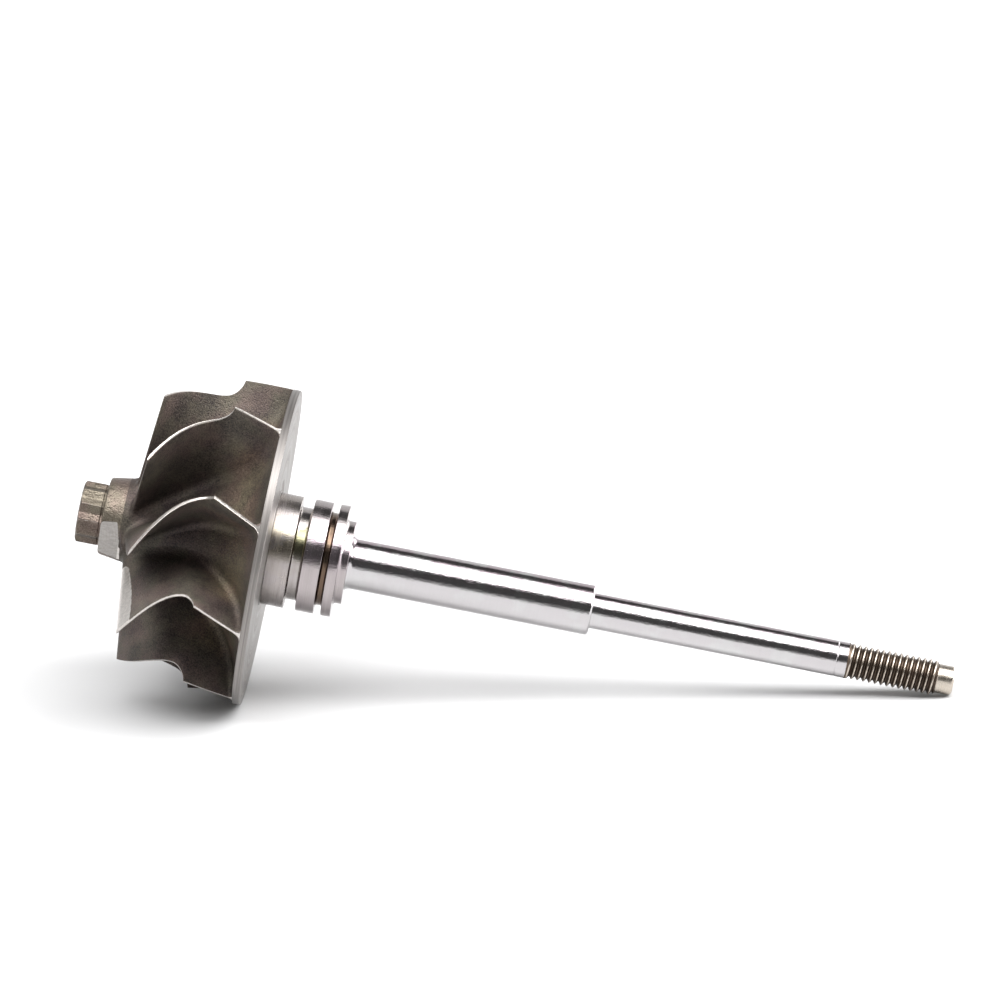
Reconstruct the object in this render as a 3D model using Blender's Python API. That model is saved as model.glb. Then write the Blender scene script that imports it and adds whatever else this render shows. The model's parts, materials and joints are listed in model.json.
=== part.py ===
"""Turbocharger turbine wheel: a cast nickel wheel on a turned steel shaft.

The rotor is modelled along its own axis, local X. The back face of the disc is
at X = 0, the nose points to -X and the shaft to +X. An angle around the axis
is 0 towards -Y and 90 degrees towards +Z. An empty carries all the pieces and
lays the rotor down, so that it rests on its rim and on its threaded end.
Lengths are in millimetres until a vertex is made.
"""
import math

import bmesh
import bpy
from mathutils import Vector

MM = 0.001

# Wheel. The shroud outline is the blades' outer edge as (depth, radius)
WHEEL_RADIUS = 26.67
RIM_THICKNESS = 1.33
RIM_CHAMFER = 0.15
DISC_DEPTH = 3.6
SHROUD_OUTLINE = [
    (9.55, 26.67), (9.75, 25.9), (10.2, 25.05), (10.9, 24.25), (11.7, 23.75),
    (12.9, 23.45), (15.0, 23.3), (18.4, 23.2), (21.8, 23.15)]
TRAILING_ROOT_DEPTH = 23.7

# Hub, whose outline is a quarter of an ellipse plus a slight taper
HUB_END_DEPTH = 24.9
HUB_END_RADIUS = 6.98
HUB_RIM_RADIUS = 26.0
HUB_TAPER = 0.08

# Blades, which thin out from the hub's end radius to the exducer's radius
BLADE_COUNT = 9
BLADE_CREST_ANGLE = 33.4
BLADE_CREST_DEPTH = 10.3
INDUCER_LEAN = 1.02
EXDUCER_BEND = 0.2115
CREST_ROUNDING = 1.2
BLADE_TIP_THICKNESS = 0.7
BLADE_ROOT_THICKNESS = 2.1

# Nose
DRIVE_END_DEPTH = 32.4
DRIVE_DEPTH = 28.25
DRIVE_PEAK_RADIUS = 5.35
DRIVE_VALLEY_RADIUS = 4.75
DRIVE_POINTS = 12
DRIVE_CHAMFER = 0.3
DRIVE_ANGLE = 3.4
COLLAR_FRONT_RADIUS = 6.45
COLLAR_CHAMFER = 0.3
COLLAR_FLAT_DISTANCE = 5.5
COLLAR_FLAT_ANGLE = -21.6

# Seal boss, measured along the shaft from the back face of the disc
LAND_RADIUS = 9.45
NECK_RADIUS = 7.83
INNER_LAND_END = 3.87
OIL_GROOVE_END = 5.92
MIDDLE_LAND_END = 9.0
RING_GROOVE_END = 10.2
OUTER_LAND_END = 11.87
LAND_CHAMFER = 0.2

# Shaft
THRUST_COLLAR_RADIUS = 7.0
THRUST_COLLAR_END = 13.3
SHOULDER_FILLET = 0.9
JOURNAL_RADIUS = 4.225
JOURNAL_END = 54.5
STEM_RADIUS = 3.0
STEM_END = 97.7
THREAD_CREST_RADIUS = 2.97
THREAD_ROOT_RADIUS = 2.42
THREAD_PITCH = 1.0
THREAD_TURNS = 14
THREAD_END = 113.0
PILOT_RADIUS = 2.42
PILOT_END = 115.8
SHAFT_CHAMFER = 0.25
SEAT_CLEARANCE = 0.15

# Clearances and mesh steps
JOINT_GAP = 0.2
ROOT_GAP = 0.3
DISC_SEGMENTS = 32
HUB_SEGMENTS = 54
BOSS_SEGMENTS = 48
SHAFT_SEGMENTS = 32
THREAD_SEGMENTS = 20
HUB_STEPS = 12
BLADE_STEPS = 15
BLADE_ROWS = 5


def clear_scene():
    for old in list(bpy.data.objects):
        bpy.data.objects.remove(old, do_unlink=True)


def make_material(name, colour, roughness, metallic):
    material = bpy.data.materials.new(name)
    material.use_nodes = True
    shader = material.node_tree.nodes["Principled BSDF"]
    shader.inputs["Base Color"].default_value = (*colour, 1.0)
    shader.inputs["Roughness"].default_value = roughness
    shader.inputs["Metallic"].default_value = metallic
    return material


def polar(along, radius, degrees):
    """A point at a distance along the axis, a radius and an angle around it."""
    turn = math.radians(degrees)
    return Vector((along, -radius * math.cos(turn), radius * math.sin(turn))) * MM


def finish_object(name, bm, material, parent):
    """Turn a closed bmesh into a named object, smooth but for its sharp edges."""
    bmesh.ops.recalc_face_normals(bm, faces=bm.faces)
    mesh = bpy.data.meshes.new(name)
    bm.to_mesh(mesh)
    bm.free()
    mesh.materials.append(material)
    mesh.shade_smooth()
    mesh.set_sharp_from_angle(angle=math.radians(30))
    piece = bpy.data.objects.new(name, mesh)
    bpy.context.collection.objects.link(piece)
    piece.parent = parent
    return piece


def turned_piece(name, outline, segments, material, parent):
    """Spin an outline of (along, radius) points round the axis and cap its ends.

    A facet, not an edge, is lowest, as on everything that the rotor lies on.
    """
    bm = bmesh.new()
    start = -90.0 + 180.0 / segments
    points = [bm.verts.new(polar(along, radius, start)) for along, radius in outline]
    edges = [bm.edges.new(pair) for pair in zip(points, points[1:])]
    bmesh.ops.spin(
        bm, geom=points + edges, cent=(0, 0, 0), axis=(1, 0, 0),
        angle=math.tau, steps=segments, use_merge=True)
    bmesh.ops.remove_doubles(bm, verts=bm.verts, dist=0.001 * MM)
    bmesh.ops.holes_fill(bm, edges=bm.edges, sides=segments)
    return finish_object(name, bm, material, parent)


def cylinder_outline(start, end, radius, chamfer_start=0.0, chamfer_end=0.0):
    """A plain cylinder with a 45 degree chamfer at either end, where one is given."""
    outline = []
    if chamfer_start:
        outline.append((start, radius - chamfer_start))
    outline.append((start + chamfer_start, radius))
    outline.append((end - chamfer_end, radius))
    if chamfer_end:
        outline.append((end, radius - chamfer_end))
    return outline


def hub_point(turn, clearance=0.0):
    """A (depth, radius) point on the hub's outline; turn 0 is the rim, 90 the nose."""
    length = HUB_END_DEPTH - RIM_THICKNESS - clearance
    height = HUB_RIM_RADIUS - HUB_END_RADIUS - clearance - HUB_TAPER * length
    angle = math.radians(turn)
    taper = HUB_TAPER * length * (1.0 - math.cos(angle))
    depth = HUB_END_DEPTH - length * math.cos(angle)
    return depth, HUB_RIM_RADIUS - height * math.sin(angle) - taper


def hub_turn_at(depth, clearance=0.0):
    length = HUB_END_DEPTH - RIM_THICKNESS - clearance
    return math.degrees(math.acos((HUB_END_DEPTH - depth) / length))


def shroud_point(share):
    """A (depth, radius) point on the blade's outer edge, from shoulder to trailing tip."""
    lengths = [math.dist(*pair) for pair in zip(SHROUD_OUTLINE, SHROUD_OUTLINE[1:])]
    travelled = share * sum(lengths)
    for start, end, length in zip(SHROUD_OUTLINE, SHROUD_OUTLINE[1:], lengths):
        if travelled <= length:
            part = travelled / length
            return start[0] + (end[0] - start[0]) * part, start[1] + (end[1] - start[1]) * part
        travelled -= length
    return SHROUD_OUTLINE[-1]


def camber_angle(depth):
    """Blade angle against its crest: a straight lean, then a growing bend."""

    def area(distance):
        if distance > 0:
            return -EXDUCER_BEND * distance ** 3 / 3
        return INDUCER_LEAN * distance ** 2 / 2

    distance = depth - BLADE_CREST_DEPTH
    spread = area(distance + CREST_ROUNDING) - area(distance - CREST_ROUNDING)
    return spread / (2 * CREST_ROUNDING)


def blade_half_angle(depth, radius):
    """Half the blade's thickness, as an angle around the axis."""
    exducer_radius = SHROUD_OUTLINE[-1][1]
    share = (exducer_radius - radius) / (exducer_radius - HUB_END_RADIUS)
    extra = (BLADE_ROOT_THICKNESS - BLADE_TIP_THICKNESS) * min(1.0, max(0.0, share))
    thickness = BLADE_TIP_THICKNESS + extra
    step = 0.1
    slope = math.radians(camber_angle(depth + step) - camber_angle(depth - step)) / (2 * step)
    stretch = math.sqrt(1.0 + (radius * slope) ** 2)
    return math.degrees(0.5 * thickness * stretch / radius)


def blade_point(share, height):
    """A (depth, radius) point of the blade between its root, 0, and outer edge, 1."""
    last_turn = hub_turn_at(TRAILING_ROOT_DEPTH, ROOT_GAP)
    root_depth, root_radius = hub_point(share * last_turn, ROOT_GAP)
    root_radius += (WHEEL_RADIUS - HUB_RIM_RADIUS) * (1.0 - share)
    tip_depth, tip_radius = shroud_point(share)
    depth = root_depth + (tip_depth - root_depth) * height
    radius = root_radius + (tip_radius - root_radius) * height
    return depth, radius


def make_blade(name, crest_angle, material, parent):
    bm = bmesh.new()
    sides = []
    for side in (-1, 1):
        grid = []
        for column in range(BLADE_STEPS + 1):
            line = []
            for row in range(BLADE_ROWS + 1):
                height = row / BLADE_ROWS
                depth, radius = blade_point(column / BLADE_STEPS, height)
                angle = crest_angle + camber_angle(depth)
                angle += side * blade_half_angle(depth, radius)
                line.append(bm.verts.new(polar(-depth, radius, angle)))
            grid.append(line)
        sides.append(grid)
        for left, right in zip(grid, grid[1:]):
            for row in range(BLADE_ROWS):
                bm.faces.new((left[row], right[row], right[row + 1], left[row + 1]))
    low, high = sides

    def close_edge(low_line, high_line):
        for step in range(len(low_line) - 1):
            bm.faces.new((low_line[step], low_line[step + 1], high_line[step + 1], high_line[step]))

    close_edge(low[0], high[0])
    close_edge(low[-1], high[-1])
    close_edge([line[0] for line in low], [line[0] for line in high])
    close_edge([line[-1] for line in low], [line[-1] for line in high])
    bmesh.ops.triangulate(bm, faces=bm.faces)
    return finish_object(name, bm, material, parent)


def make_back_disc(material, parent):
    """The disc behind the blades, whose facets touch the true circle from outside."""
    front_depth = DISC_DEPTH - JOINT_GAP / 2
    outline = [(0.0, WHEEL_RADIUS - RIM_CHAMFER)]
    outline.append((-RIM_CHAMFER, WHEEL_RADIUS))
    outline.append((-RIM_THICKNESS, WHEEL_RADIUS))
    steps = 5
    last_turn = hub_turn_at(front_depth)
    for step in range(steps + 1):
        depth, radius = hub_point(last_turn * step / steps)
        outline.append((-depth, radius))
    widening = 1.0 / math.cos(math.pi / DISC_SEGMENTS)
    outline = [(along, radius * widening) for along, radius in outline]
    turned_piece("back_disc", outline, DISC_SEGMENTS, material, parent)


def make_hub(material, parent):
    first_turn = hub_turn_at(DISC_DEPTH + JOINT_GAP / 2)
    last_turn = hub_turn_at(HUB_END_DEPTH - JOINT_GAP / 2)
    outline = []
    for step in range(HUB_STEPS + 1):
        depth, radius = hub_point(first_turn + (last_turn - first_turn) * step / HUB_STEPS)
        outline.append((-depth, radius))
    turned_piece("hub", outline, HUB_SEGMENTS, material, parent)


def make_nose_collar(material, parent):
    """The collar behind the drive, with a flat where it was ground for balance."""
    start = -(DRIVE_DEPTH - JOINT_GAP / 2)
    outline = [(start, COLLAR_FRONT_RADIUS - COLLAR_CHAMFER), (start + COLLAR_CHAMFER, COLLAR_FRONT_RADIUS)]
    outline.append((-(HUB_END_DEPTH + JOINT_GAP / 2), HUB_END_RADIUS))
    collar = turned_piece("nose_collar", outline, BOSS_SEGMENTS, material, parent)
    bm = bmesh.new()
    bm.from_mesh(collar.data)
    outward = polar(0.0, 1.0, COLLAR_FLAT_ANGLE).normalized()
    cut = bmesh.ops.bisect_plane(
        bm, geom=bm.verts[:] + bm.edges[:] + bm.faces[:], plane_co=outward * COLLAR_FLAT_DISTANCE * MM,
        plane_no=outward, clear_outer=True)
    rim = [item for item in cut["geom_cut"] if isinstance(item, bmesh.types.BMEdge)]
    bmesh.ops.contextual_create(bm, geom=rim)
    bmesh.ops.recalc_face_normals(bm, faces=bm.faces)
    bm.to_mesh(collar.data)
    bm.free()
    collar.data.shade_smooth()
    collar.data.set_sharp_from_angle(angle=math.radians(20))


def make_drive(material, parent):
    """The twelve-point drive, on which the wheel is held and turned."""
    bm = bmesh.new()
    ends = [(DRIVE_END_DEPTH, DRIVE_CHAMFER), (DRIVE_END_DEPTH - DRIVE_CHAMFER, 0.0)]
    ends.append((DRIVE_DEPTH + JOINT_GAP / 2, 0.0))
    loops = []
    for depth, inset in ends:
        loop = []
        for corner in range(2 * DRIVE_POINTS):
            radius = DRIVE_PEAK_RADIUS if corner % 2 == 0 else DRIVE_VALLEY_RADIUS
            angle = DRIVE_ANGLE + corner * 180.0 / DRIVE_POINTS
            loop.append(bm.verts.new(polar(-depth, radius - inset, angle)))
        loops.append(loop)
    for near, far in zip(loops, loops[1:]):
        for corner in range(2 * DRIVE_POINTS):
            after = (corner + 1) % (2 * DRIVE_POINTS)
            bm.faces.new((near[corner], near[after], far[after], far[corner]))
    bm.faces.new(loops[0])
    bm.faces.new(reversed(loops[-1]))
    finish_object("twelve_point_drive", bm, material, parent)


def make_seal_boss(land_material, neck_material, parent):
    """Three lands, with the wide oil groove and the narrow seal ring groove between."""
    pieces = [
        ("boss_inner_land", 0.0, INNER_LAND_END, LAND_RADIUS),
        ("oil_groove_neck", INNER_LAND_END, OIL_GROOVE_END, NECK_RADIUS),
        ("boss_middle_land", OIL_GROOVE_END, MIDDLE_LAND_END, LAND_RADIUS),
        ("ring_groove_neck", MIDDLE_LAND_END, RING_GROOVE_END, NECK_RADIUS),
        ("boss_outer_land", RING_GROOVE_END, OUTER_LAND_END, LAND_RADIUS),
    ]
    for name, start, end, radius in pieces:
        is_land = radius == LAND_RADIUS
        chamfer = LAND_CHAMFER if is_land else 0.0
        material = land_material if is_land else neck_material
        first = start + (JOINT_GAP if start == 0.0 else JOINT_GAP / 2)
        outline = cylinder_outline(first, end - JOINT_GAP / 2, radius, chamfer, chamfer)
        turned_piece(name, outline, BOSS_SEGMENTS, material, parent)


def make_shaft(ground_material, collar_material, tip_material, parent):
    """Thrust collar, journal, stem and pilot. Two end faces are rings that a mate lies on.

    The stem stands in a shallow seat inside the journal's ring.
    """
    half = JOINT_GAP / 2
    end = THRUST_COLLAR_END - half
    outline = cylinder_outline(OUTER_LAND_END + half, end, THRUST_COLLAR_RADIUS, 0.0, LAND_CHAMFER)
    outline.append((end, JOURNAL_RADIUS + SHOULDER_FILLET + SEAT_CLEARANCE))
    turned_piece("thrust_collar", outline, BOSS_SEGMENTS, collar_material, parent)

    start = THRUST_COLLAR_END + half
    outline = [(start, JOURNAL_RADIUS + SHOULDER_FILLET), (start + SHOULDER_FILLET, JOURNAL_RADIUS)]
    outline += cylinder_outline(start, JOURNAL_END, JOURNAL_RADIUS, 0.0, SHAFT_CHAMFER)[1:]
    outline.append((JOURNAL_END, STEM_RADIUS + SEAT_CLEARANCE))
    outline.append((JOURNAL_END - JOINT_GAP, STEM_RADIUS + SEAT_CLEARANCE))
    turned_piece("journal", outline, SHAFT_SEGMENTS, ground_material, parent)

    outline = cylinder_outline(JOURNAL_END, STEM_END - half, STEM_RADIUS)
    turned_piece("stem", outline, SHAFT_SEGMENTS, ground_material, parent)

    outline = cylinder_outline(THREAD_END + half, PILOT_END, PILOT_RADIUS, 0.0, SHAFT_CHAMFER)
    turned_piece("pilot_tip", outline, SHAFT_SEGMENTS, tip_material, parent)


def make_threaded_end(material, parent):
    """A left-hand 60 degree thread, as columns of crest and root points that climb
    one pitch in a turn, between a plain ring at either end."""
    bm = bmesh.new()
    start = STEM_END + JOINT_GAP / 2
    end = THREAD_END - JOINT_GAP / 2
    first_root = (start + end - (THREAD_TURNS + 1) * THREAD_PITCH) / 2
    points_in_turn = 2
    columns = []
    for segment in range(THREAD_SEGMENTS):
        angle = -90.0 + (segment + 0.5) * 360.0 / THREAD_SEGMENTS
        climb = first_root + THREAD_PITCH * segment / THREAD_SEGMENTS
        column = [bm.verts.new(polar(start, THREAD_ROOT_RADIUS, angle))]
        for step in range(points_in_turn * THREAD_TURNS + 1):
            radius = THREAD_CREST_RADIUS if step % points_in_turn else THREAD_ROOT_RADIUS
            along = climb + step * THREAD_PITCH / points_in_turn
            column.append(bm.verts.new(polar(along, radius, angle)))
        column.append(bm.verts.new(polar(end, THREAD_ROOT_RADIUS, angle)))
        columns.append(column)
    for left, right in zip(columns, columns[1:]):
        for step in range(len(left) - 1):
            bm.faces.new((left[step], left[step + 1], right[step + 1], right[step]))

    last, first = columns[-1], columns[0]
    shift = points_in_turn
    bm.faces.new((last[0], last[1], first[1], first[0]))
    for step in range(1, 1 + shift):
        bm.faces.new((last[1], first[step + 1], first[step]))
    for step in range(1, len(last) - 2 - shift):
        bm.faces.new((last[step], last[step + 1], first[step + 1 + shift], first[step + shift]))
    for step in range(len(last) - 2 - shift, len(last) - 2):
        bm.faces.new((last[step], last[step + 1], first[-2]))
    bm.faces.new((last[-2], last[-1], first[-1], first[-2]))
    bm.faces.new([column[0] for column in columns])
    bm.faces.new([column[-1] for column in reversed(columns)])
    bmesh.ops.triangulate(bm, faces=[face for face in bm.faces if len(face.verts) == 4])
    finish_object("threaded_end", bm, material, parent)


def lay_down(rotor):
    """Tilt the rotor until its tip touches the ground, with the box's centre at the origin."""
    rim = (0.0, WHEEL_RADIUS - RIM_CHAMFER)
    touch_points = [
        (THREAD_END - THREAD_PITCH, THREAD_CREST_RADIUS * math.cos(math.pi / THREAD_SEGMENTS)),
        (PILOT_END - SHAFT_CHAMFER, PILOT_RADIUS * math.cos(math.pi / SHAFT_SEGMENTS)),
    ]
    slope = min((rim[1] - radius) / (along - rim[0]) for along, radius in touch_points)
    rotor.rotation_euler = (0.0, math.atan(slope), 0.0)
    bpy.context.view_layer.update()
    corners = []
    for piece in rotor.children:
        corners += [piece.matrix_world @ vertex.co for vertex in piece.data.vertices]
    lowest = Vector([min(corner[axis] for corner in corners) for axis in range(3)])
    highest = Vector([max(corner[axis] for corner in corners) for axis in range(3)])
    centre = (lowest + highest) / 2
    rotor.location = (-centre.x, -centre.y, -lowest.z)
    bpy.context.view_layer.update()


def main():
    clear_scene()
    casting = make_material("nickel_casting", (0.165, 0.135, 0.105), 0.55, 0.85)
    drive_steel = make_material("nose_casting", (0.21, 0.165, 0.13), 0.5, 0.85)
    turned_disc = make_material("turned_disc", (0.62, 0.59, 0.57), 0.32, 1.0)
    turned_land = make_material("turned_land", (0.55, 0.52, 0.50), 0.30, 1.0)
    groove_steel = make_material("groove_steel", (0.50, 0.47, 0.38), 0.35, 1.0)
    ground_steel = make_material("ground_steel", (0.70, 0.69, 0.69), 0.16, 1.0)
    thread_steel = make_material("thread_steel", (0.30, 0.24, 0.19), 0.35, 1.0)
    tip_steel = make_material("tip_steel", (0.62, 0.58, 0.53), 0.25, 1.0)

    rotor = bpy.data.objects.new("rotor", None)
    bpy.context.collection.objects.link(rotor)
    make_back_disc(turned_disc, rotor)
    make_hub(casting, rotor)
    make_nose_collar(drive_steel, rotor)
    make_drive(drive_steel, rotor)
    for number in range(BLADE_COUNT):
        angle = BLADE_CREST_ANGLE + number * 360.0 / BLADE_COUNT
        make_blade(f"blade_{number + 1}", angle, casting, rotor)
    make_seal_boss(turned_land, groove_steel, rotor)
    make_shaft(ground_steel, turned_land, tip_steel, rotor)
    make_threaded_end(thread_steel, rotor)
    lay_down(rotor)


main()
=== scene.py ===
"""Turbocharger turbine wheel: how it looks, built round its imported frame.

The rotor is one rigid body, so every piece rides on the body "root". Shapes are
worked out in the rotor's own millimetres: along its axis from the back face of
the disc, the nose at negative and the shaft at positive distances, then a
radius and a turn round the axis, 0 towards the viewer and 90 degrees upwards.
"""
import json
import math

import bmesh
import bpy
import numpy as np
from bpy.props import FloatProperty, FloatVectorProperty, IntProperty, PointerProperty
from mathutils import Matrix, Vector


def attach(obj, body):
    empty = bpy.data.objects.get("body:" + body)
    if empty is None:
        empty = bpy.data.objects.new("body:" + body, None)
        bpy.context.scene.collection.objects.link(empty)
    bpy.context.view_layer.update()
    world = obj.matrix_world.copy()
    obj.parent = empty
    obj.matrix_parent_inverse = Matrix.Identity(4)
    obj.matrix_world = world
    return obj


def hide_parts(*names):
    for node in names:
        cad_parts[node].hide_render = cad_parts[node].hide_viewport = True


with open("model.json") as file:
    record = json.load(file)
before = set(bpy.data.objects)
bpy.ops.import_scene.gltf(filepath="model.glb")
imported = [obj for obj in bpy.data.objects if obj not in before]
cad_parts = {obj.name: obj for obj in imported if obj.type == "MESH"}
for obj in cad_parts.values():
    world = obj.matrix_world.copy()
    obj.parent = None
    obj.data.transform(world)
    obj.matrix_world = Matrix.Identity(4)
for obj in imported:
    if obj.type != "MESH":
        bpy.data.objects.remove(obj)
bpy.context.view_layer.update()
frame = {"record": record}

bl_info = {
    "name": "Turbine wheel",
    "version": (1, 0, 0),
    "blender": (4, 5, 0),
    "location": "3D View > Sidebar > Turbine wheel",
    "description": "Builds the looks of a turbocharger turbine wheel and its shaft",
    "category": "Object",
}

MM = 0.001
ON_AXIS = 1e-6
LONGEST_FILLET_SHARE = 0.48

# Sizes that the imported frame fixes, in millimetres
RIM_THICKNESS = 1.33
DISC_DEPTH = 3.6
TRAILING_ROOT_DEPTH = 23.7
HUB_END_DEPTH = 24.9
HUB_END_RADIUS = 6.98
HUB_RIM_RADIUS = 26.0
HUB_TAPER = 0.08
SHROUD_OUTLINE = [
    (9.55, 26.67), (9.75, 25.9), (10.2, 25.05), (10.9, 24.25), (11.7, 23.75),
    (12.9, 23.45), (15.0, 23.3), (18.4, 23.2), (21.8, 23.15)]
BLADE_CREST_ANGLE = 33.4
BLADE_CREST_DEPTH = 10.3
INDUCER_LEAN = 1.02
EXDUCER_BEND = 0.2115
CREST_ROUNDING = 1.2
DRIVE_END_DEPTH = 32.4
DRIVE_DEPTH = 28.25
DRIVE_ANGLE = 3.4
DRIVE_POINTS = 12
COLLAR_FRONT_RADIUS = 6.45
COLLAR_FLAT_DISTANCE = 5.5
COLLAR_FLAT_ANGLE = -21.6
INNER_LAND_END = 3.87
OIL_GROOVE_END = 5.92
MIDDLE_LAND_END = 9.0
RING_GROOVE_END = 10.2
OUTER_LAND_END = 11.87
THRUST_COLLAR_END = 13.3
JOURNAL_END = 54.5
STEM_END = 97.7
THREAD_END = 113.0
PILOT_END = 115.8

# Points round the axis of each shape, and steps along its outline
HUB_SEGMENTS = 240
DISC_SEGMENTS = 288
DRIVE_SEGMENTS = 288
BOSS_SEGMENTS = 192
JOURNAL_SEGMENTS = 192
STEM_SEGMENTS = 160
TIP_SEGMENTS = 128
THREAD_SEGMENTS = 96
HUB_STEPS = 90
DISC_SIDE_STEPS = 40

# Blades: millimetres, counts of points, and shares of the chord, the thickness or the fillet
# The blade that carries a patch of painted light by its tail
PAINTED_LIGHT_BLADE = 9
BLADE_CHORD = 18.0
BLADE_TAIL = 0.45
BLADE_COLUMNS = 58
TAIL_COLUMNS = 6
BLADE_ROWS = 26
EDGE_STEPS = (0.0, 0.25, 0.6, 1.0)
FILLET_STEPS = (-0.3, 0.0, 0.01, 0.035, 0.08, 0.15, 0.27, 0.43, 0.62, 0.82, 1.0)
FILLET_AT_RIM = 0.75
FILLET_FULL_FROM = 0.2
FILLET_LOSS_AT_TAIL = 0.35
TAIL_FLARE = 0.7
TAIL_FLARE_START = 0.86
ROOT_SINK = 0.015
THICKENING_RADIUS = 23.2
EDGE_THICKNESS = 0.78
TAIL_THICKNESS = 0.25
CAMBER_STEP = 0.1

# Ground strips beside the blade edges, and a patch of painted light by the tail of one blade
CORNER_SHARE = 0.62
GROUND_STRIP = 0.25
PATCH_START_RADIUS = 9.4
PATCH_OPENING = 0.8
PATCH_WIDTH = 0.65
PATCH_WIDTH_RADIUS = 10.5
PATCH_WIDENING = 0.139
PATCH_LEVEL = 0.72
PATCH_FADE = 1.5

# The flat on the nose collar, which leans out towards the hub and runs out in a curve
FLAT_LEAN = 0.045
FLAT_END_DEPTH = 25.15
FLAT_END_SLANT = 0.16
RUN_OUT_LENGTH = 0.9
RUN_OUT_RISE = 1.3
RUN_OUT_LIMIT = 3.0
RUN_OUT_GROUND = 0.35
FLAT_FADE = 4.0
COLLAR_ROUNDING = 0.45
COLLAR_SPACING = 0.09

# The twelve-point drive
CHAMFER_ROWS = 9
STRAIGHT_ROWS = 24
FOOT_ROWS = 7
DRIVE_CHAMFER = 0.4
DRIVE_CHAMFER_SLOPE = 1.5
DRIVE_FACE_INSET = 0.02
DRIVE_FOOT = 0.5
DRIVE_FOOT_HOLLOW = 0.16
DRIVE_FOOT_FLARE = 0.1
RIDGE_WEAR = 0.72
RIDGE_WEAR_START = 0.875

# Roundings, flares and small steps of the turned parts. A step on the disc's back face has its
# distance along, its radius and its rounding, and a step on the journal its distance along from
# that end, its height above the journal and its rounding
LAND_ROUNDING = 0.12
LAND_END_ROUNDING = 0.14
NECK_FLARE = 0.25
NECK_FILLET = 0.22
THRUST_FLARE = 0.3
THRUST_FILLET = 0.25
THRUST_ROUNDING = 0.16
JOURNAL_ROOT_STEPS = [(0.0, 0.36, 0.0), (0.15, 0.3, 0.06), (0.62, 0.0, 0.2)]
JOURNAL_END_STEPS = [(-0.3, 0.0, 0.1), (0.0, -0.28, 0.08)]
STEM_MARK = 95.97
STEM_MARK_HALF = 0.12
STEM_MARK_DEPTH = 0.09
STEM_MARK_ROUNDING = 0.04
TIP_CHAMFER = 0.35
TIP_ROUNDING = 0.12
BACK_FACE_STEPS = [(0.0, 9.7, 0.1), (-0.25, 9.75, 0.12), (-0.3, 11.2, 0.2), (0.0, 11.6, 0.2)]
RIM_BACK_ROUNDING = 0.14
RIM_FRONT_ROUNDING = 0.1

# The thread, whose crest and flank are shares of half a pitch
THREAD_STEP = 0.05
CREST_FLAT = 0.12
FLANK_SHARE = 0.76
THREAD_START = 0.1
THREAD_RUN_OUT = 0.9
THREAD_CHAMFER_START = 0.02
CREST_FADE = 2.2
CHAMFER_WEAR = 0.8

# Finish of the casting: tints, painted light and painted shade multiply its colour, and places and relief
# are in millimetres
MAUVE_CLOUD = (1.05, 0.94, 0.96)
GREEN_CLOUD = (0.97, 0.99, 0.92)
# The olive tint is partly the casting's hue and partly painted light: its gain above 1 brightens the hub
# and blade roots by the disc
OLIVE_TINT_AND_LIGHT = (1.55, 1.46, 1.26)
OLIVE_LIGHT_PLACES = (-13.0, -4.0)
OLIVE_LIGHT_RADII = (18.0, 22.0)
# Painted shade: the cast colour is darker near the axis, deep among the blades, and low down, where shade
# falls
PAINTED_SHADE_RADII = (9.0, 22.0)
PAINTED_SHADE_HEIGHTS = (-20.0, -9.0)
CAST_GRAIN = 0.24
CAST_METALLIC = 0.7
CAST_RELIEF = 0.08
NOSE_WEAR = 0.56
TURNED_EDGE = (-1.42, -1.3)

# Heights above the axis where the tint of a turned part grows and where it fades, in millimetres
TINT_RISE = (0.5, 3.5)
TINT_FADE = (6.3, 7.3)

# The room: light over the arc from the horizon on the camera's side, 0, through straight up,
# 0.5, to the horizon behind the part, 1
LIGHT_ARC = [
    (0.0, 0.065), (0.03, 0.045), (0.07, 0.009), (0.255, 0.009), (0.295, 0.3), (0.325, 1.0), (0.365, 1.0),
    (0.45, 0.45), (0.55, 0.42), (0.60, 0.09), (0.63, 0.009), (0.77, 0.009), (0.81, 0.1), (1.0, 0.1)]
NOSE_SIDE = (-0.95, -0.5)
SHAFT_SIDE = (0.25, 0.6)
FRONT_ARC = (0.36, 0.46)
BACK_ARC = (0.58, 0.66)
ROOM_LIGHT = 9.0
BACKDROP_LIGHT = 0.98

# The floor and the camera in metres, and the camera's sensor in millimetres
FLOOR_HALF_WIDTH = 4.0
FLOOR_SQUARES = 8
CAMERA_TARGET = (-0.002042, 0.0, 0.034324)
CAMERA_SENSOR = 36.0
CAMERA_REACH = 20.0


def rotor_placement():
    """The rotor's own axes in the frame, from the mount at the end of its nose."""
    mounts = {mount["name"]: mount for mount in frame["record"]["mounts"]}
    nose = mounts["nose_drive_end"]
    axis = -Vector(nose["axis"])
    origin = Vector(nose["pos_m"]) + axis * DRIVE_END_DEPTH * MM
    return origin, math.atan2(-axis.z, axis.x)


ROTOR_ORIGIN, ROTOR_TILT = rotor_placement()
ROTOR = Matrix.Translation(ROTOR_ORIGIN) @ Matrix.Rotation(ROTOR_TILT, 4, "Y")


# Properties

def length_property(name, description, millimetres):
    return FloatProperty(
        name=name, description=description, default=millimetres * MM, min=0.0,
        precision=5, unit="LENGTH")


def colour_property(name, description, colour):
    return FloatVectorProperty(
        name=name, description=description, default=colour, size=3, min=0.0, max=1.0,
        subtype="COLOR")


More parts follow.
